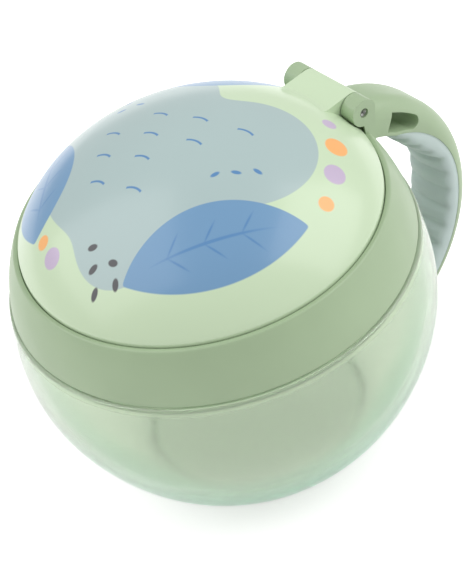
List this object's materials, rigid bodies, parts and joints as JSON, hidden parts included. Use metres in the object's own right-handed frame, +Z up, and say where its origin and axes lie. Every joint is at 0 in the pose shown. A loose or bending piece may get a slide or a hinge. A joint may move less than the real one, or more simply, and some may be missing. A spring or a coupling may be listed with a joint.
{
  "type": "toddler snack container",
  "caption": "Round snack cup with a clear bowl, a screw-on collar with a handle, soft mouth flaps and a domed flip lid on a pin hinge.",
  "frame": {"origin": "middle of the bowl's flat base", "axes": "+Z up through the bowl and the lid, +Y to the hinge and the handle, X along the hinge pin"},
  "size_m": [0.108, 0.1325, 0.0955],
  "materials": {
    "clear_bowl": "translucent green-tinted moulded plastic, glossy",
    "collar_plastic": "sage green moulded plastic, satin",
    "grip_rubber": "grey-blue soft-touch overmould, matte",
    "lid_plastic": "pale green moulded plastic with a printed pattern, glossy",
    "flap_silicone": "pale blue-grey silicone, matte",
    "seal_silicone": "translucent white silicone, matte",
    "pin_steel": "plain steel wire"
  },
  "bodies": {
    "bowl": {"bowl": "clear_bowl"},
    "seal": {"bowl_seal": "seal_silicone"},
    "collar": {"collar": "collar_plastic", "handle": "collar_plastic", "handle_grip": "grip_rubber", "flap_clamp_ring": "collar_plastic", "flap_ring": "flap_silicone", "hinge_pin": "pin_steel"},
    "lid": {"lid": "lid_plastic", "lid_seal": "seal_silicone"},
    "flap_1": {"flap_1": "flap_silicone"},
    "flap_2": {"flap_2": "flap_silicone"},
    "flap_3": {"flap_3": "flap_silicone"},
    "flap_4": {"flap_4": "flap_silicone"},
    "flap_5": {"flap_5": "flap_silicone"},
    "flap_6": {"flap_6": "flap_silicone"}
  },
  "joints": [
    {"name": "collar_rise", "type": "slide", "parent": "bowl", "child": "seal", "axis": [0, 0, 1], "range_m": [0, 0.0075]},
    {"name": "collar_turn", "type": "hinge", "parent": "seal", "child": "collar", "pos_m": [0, 0, 0.0588], "axis": [0, 0, 1], "range_deg": [0, 360]},
    {"name": "lid_hinge", "type": "hinge", "parent": "collar", "child": "lid", "pos_m": [0, 0.0456, 0.0795], "axis": [-1, 0, 0], "range_deg": [0, 165]},
    {"name": "flap_1_bend", "type": "hinge", "parent": "collar", "child": "flap_1", "pos_m": [0.033, 0, 0.0691], "axis": [0, -1, 0], "range_deg": [0, 60], "stiffness_Nm_per_rad": 0.02},
    {"name": "flap_2_bend", "type": "hinge", "parent": "collar", "child": "flap_2", "pos_m": [0.0165, 0.02858, 0.0691], "axis": [0.866, -0.5, 0], "range_deg": [0, 60], "stiffness_Nm_per_rad": 0.02},
    {"name": "flap_3_bend", "type": "hinge", "parent": "collar", "child": "flap_3", "pos_m": [-0.0165, 0.02858, 0.0691], "axis": [0.866, 0.5, 0], "range_deg": [0, 60], "stiffness_Nm_per_rad": 0.02},
    {"name": "flap_4_bend", "type": "hinge", "parent": "collar", "child": "flap_4", "pos_m": [-0.033, 0, 0.0691], "axis": [0, 1, 0], "range_deg": [0, 60], "stiffness_Nm_per_rad": 0.02},
    {"name": "flap_5_bend", "type": "hinge", "parent": "collar", "child": "flap_5", "pos_m": [-0.0165, -0.02858, 0.0691], "axis": [-0.866, 0.5, 0], "range_deg": [0, 60], "stiffness_Nm_per_rad": 0.02},
    {"name": "flap_6_bend", "type": "hinge", "parent": "collar", "child": "flap_6", "pos_m": [0.0165, -0.02858, 0.0691], "axis": [-0.866, -0.5, 0], "range_deg": [0, 60], "stiffness_Nm_per_rad": 0.02}
  ],
  "couplings": [
    {"joint": "collar_rise", "follows": "collar_turn", "m_per_rad": 0.0011937}
  ]
}
